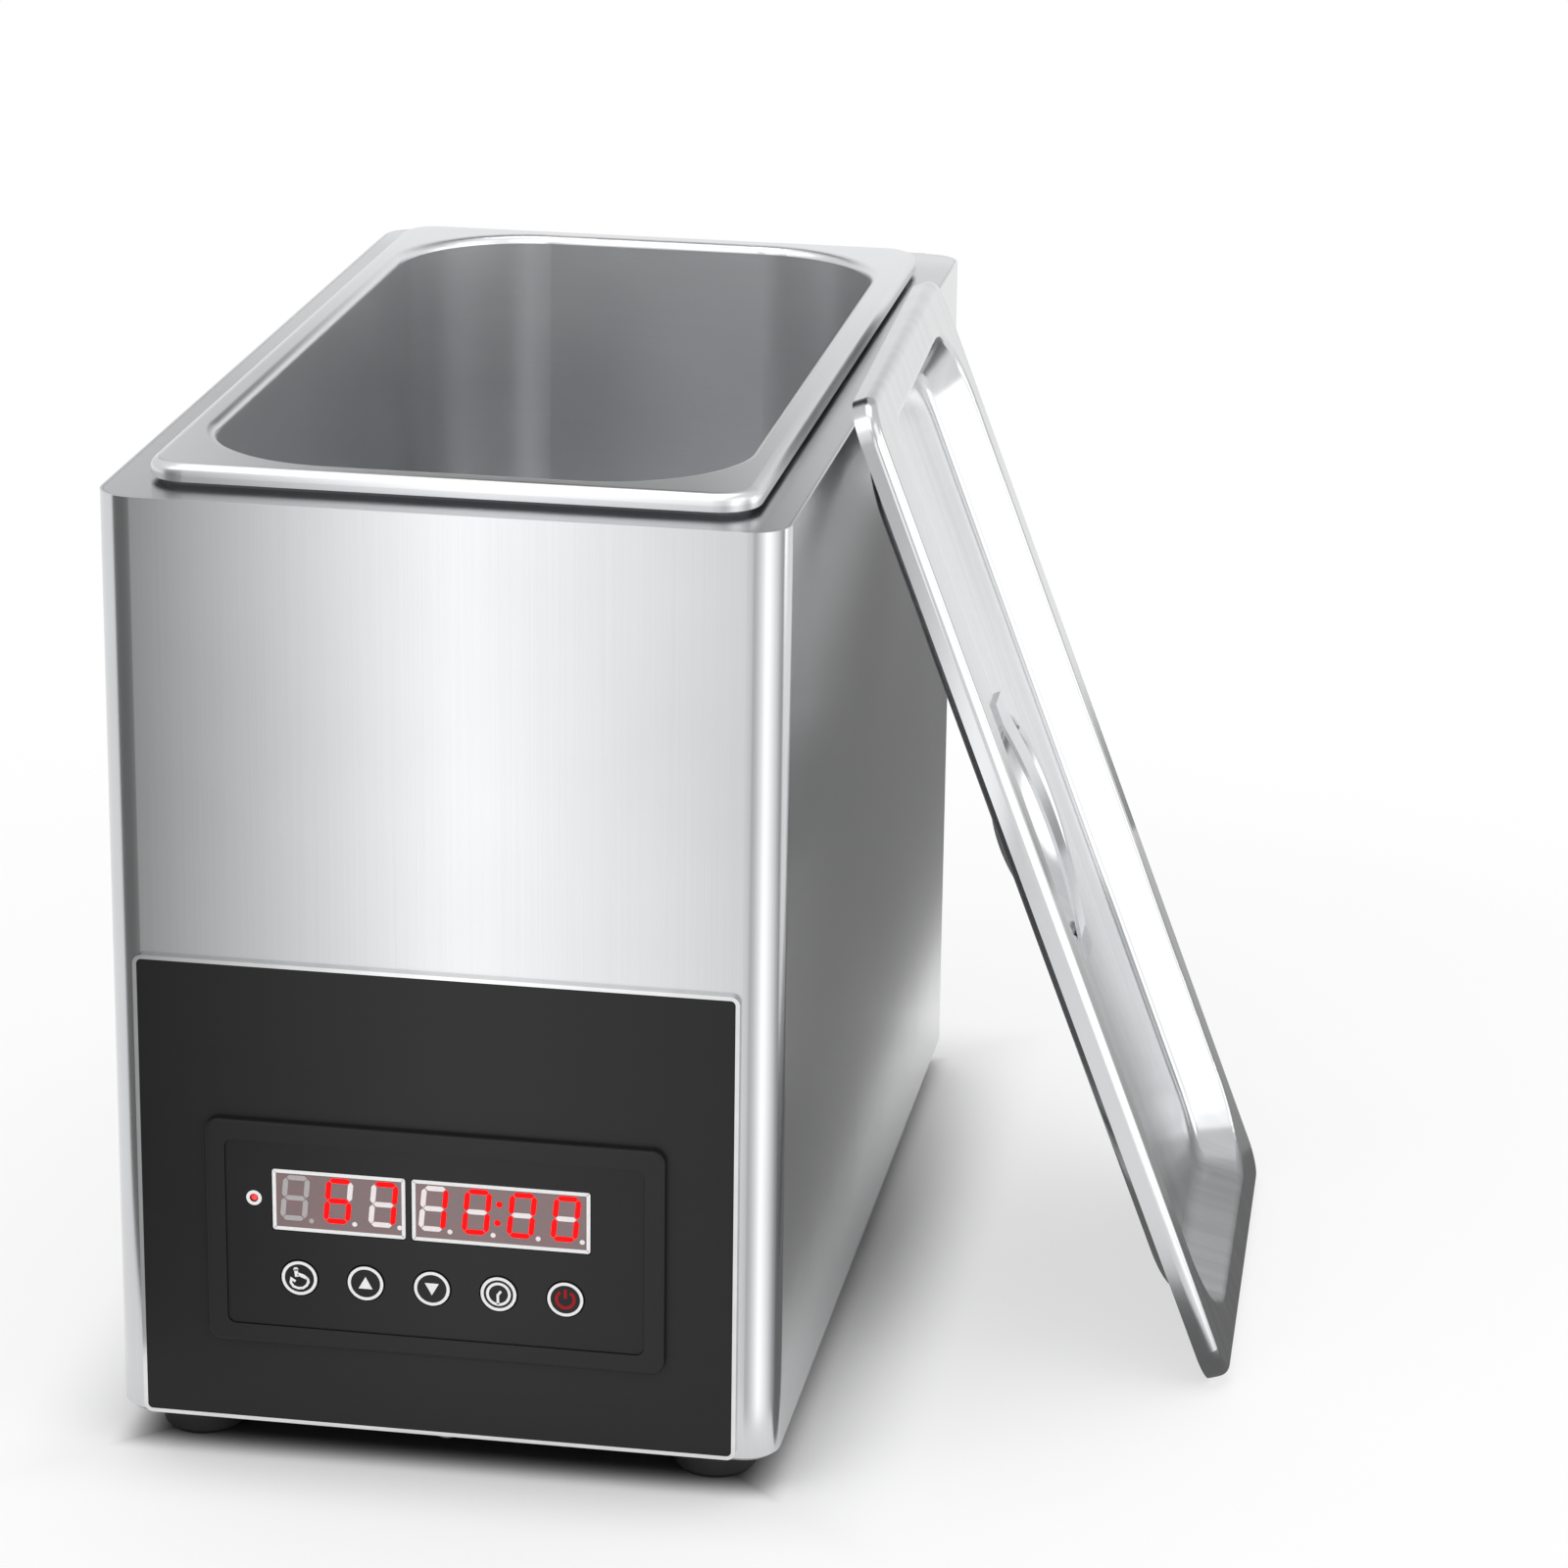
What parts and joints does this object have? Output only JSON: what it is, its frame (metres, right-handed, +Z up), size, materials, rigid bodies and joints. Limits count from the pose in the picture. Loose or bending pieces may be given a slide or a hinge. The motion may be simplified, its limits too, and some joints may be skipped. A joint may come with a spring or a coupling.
{
  "type": "commercial egg boiler",
  "caption": "Counter-top electric egg boiler: folded stainless casing with a deep open tank, a front control panel with two digit displays and touch keys, and a pressed lid leant on its side.",
  "frame": {"origin": "on the bench, under the middle of the casing's footprint", "axes": "+X to the machine's right, seen from its front, +Y from its front to its back, +Z up"},
  "size_m": [0.3217, 0.3691, 0.305],
  "materials": {
    "casing_steel": "satin brushed stainless sheet, grain upright",
    "ledge_steel": "satin stainless sheet",
    "back_steel": "brushed stainless sheet",
    "base_steel": "plain mill-finish steel sheet",
    "screw_steel": "zinc-plated steel",
    "foot_rubber": "black rubber",
    "trim_bright": "bright strip",
    "panel_black": "black satin-gloss sheet",
    "bezel_black": "black moulded plastic",
    "overlay_black": "black printed film",
    "display_dark": "tinted display face, lit digits",
    "led_red": "clear red lamp",
    "key_black": "black film key with a white ring",
    "switch_black": "moulded",
    "board_green": "circuit board laminate",
    "tank_steel": "pressed stainless, satin",
    "seal_black": "silicone strip",
    "inlet_black": "moulded black plastic",
    "pin_brass": "nickel-plated brass",
    "heater_aluminium": "cast plate",
    "pad_ceramic": "ceramic felt board",
    "bushing_ceramic": "unglazed",
    "probe_steel": "drawn tube",
    "cutout_black": "phenolic moulding",
    "insulation_felt": "mineral felt",
    "standoff_nylon": "white nylon",
    "core_iron": "varnished laminations",
    "winding_yellow": "taped winding",
    "relay_blue": "moulded case",
    "block_grey": "moulded",
    "fuse_glass": "clear tube",
    "lid_steel": "bright-polished pressed stainless",
    "strap_steel": "bright stainless strip"
  },
  "bodies": {
    "machine": {"casing_wrap": "casing_steel", "top_frame": "ledge_steel", "back_panel": "back_steel", "base_plate": "base_steel", "back_screws": "screw_steel", "back_nuts": "screw_steel", "base_screws": "screw_steel", "base_nuts": "screw_steel", "foot_screws": "screw_steel", "foot_nuts": "screw_steel", "feet": "foot_rubber", "panel_trim": "trim_bright", "front_panel": "panel_black", "module_housing": "bezel_black", "module_overlay": "overlay_black", "temperature_display": "display_dark", "timer_display": "display_dark", "heating_led": "led_red", "key_switches": "switch_black", "control_board": "board_green", "power_board": "board_green", "board_screws": "screw_steel", "tank": "tank_steel", "tank_seal": "seal_black", "hold_down_brackets": "base_steel", "hold_down_screws": "screw_steel", "power_inlet": "inlet_black", "inlet_pins": "pin_brass", "inlet_screws": "screw_steel", "heater_plate": "heater_aluminium", "heater_pad": "pad_ceramic", "heater_clamp": "base_steel", "heater_studs": "screw_steel", "heater_nuts": "screw_steel", "heater_bushings": "bushing_ceramic", "heater_terminals": "pin_brass", "temperature_probe": "probe_steel", "probe_clip": "base_steel", "overheat_cutout": "cutout_black", "tank_insulation": "insulation_felt", "board_standoffs": "standoff_nylon", "standoff_screws": "screw_steel", "standoff_nuts": "screw_steel", "transformer_core": "core_iron", "transformer_winding": "winding_yellow", "heater_relay": "relay_blue", "terminal_block": "block_grey", "fuse": "fuse_glass", "fuse_clips": "pin_brass", "earth_stud": "screw_steel", "earth_nut": "pin_brass"},
    "lid_body": {"lid": "lid_steel", "lid_handle": "strap_steel"},
    "key_set_body": {"key_set": "key_black"},
    "key_plus_body": {"key_plus": "key_black"},
    "key_minus_body": {"key_minus": "key_black"},
    "key_timer_body": {"key_timer": "key_black"},
    "key_power_body": {"key_power": "key_black"}
  },
  "joints": [
    {"name": "lid_lift", "type": "slide", "parent": "machine", "child": "lid_body", "axis": [0, 0, 1], "range_m": [0, 0.33]},
    {"name": "key_set_press", "type": "slide", "parent": "machine", "child": "key_set_body", "axis": [0, 1, 0], "range_m": [0, 0.0005], "stiffness_N_per_m": 400},
    {"name": "key_plus_press", "type": "slide", "parent": "machine", "child": "key_plus_body", "axis": [0, 1, 0], "range_m": [0, 0.0005], "stiffness_N_per_m": 400},
    {"name": "key_minus_press", "type": "slide", "parent": "machine", "child": "key_minus_body", "axis": [0, 1, 0], "range_m": [0, 0.0005], "stiffness_N_per_m": 400},
    {"name": "key_timer_press", "type": "slide", "parent": "machine", "child": "key_timer_body", "axis": [0, 1, 0], "range_m": [0, 0.0005], "stiffness_N_per_m": 400},
    {"name": "key_power_press", "type": "slide", "parent": "machine", "child": "key_power_body", "axis": [0, 1, 0], "range_m": [0, 0.0005], "stiffness_N_per_m": 400}
  ]
}
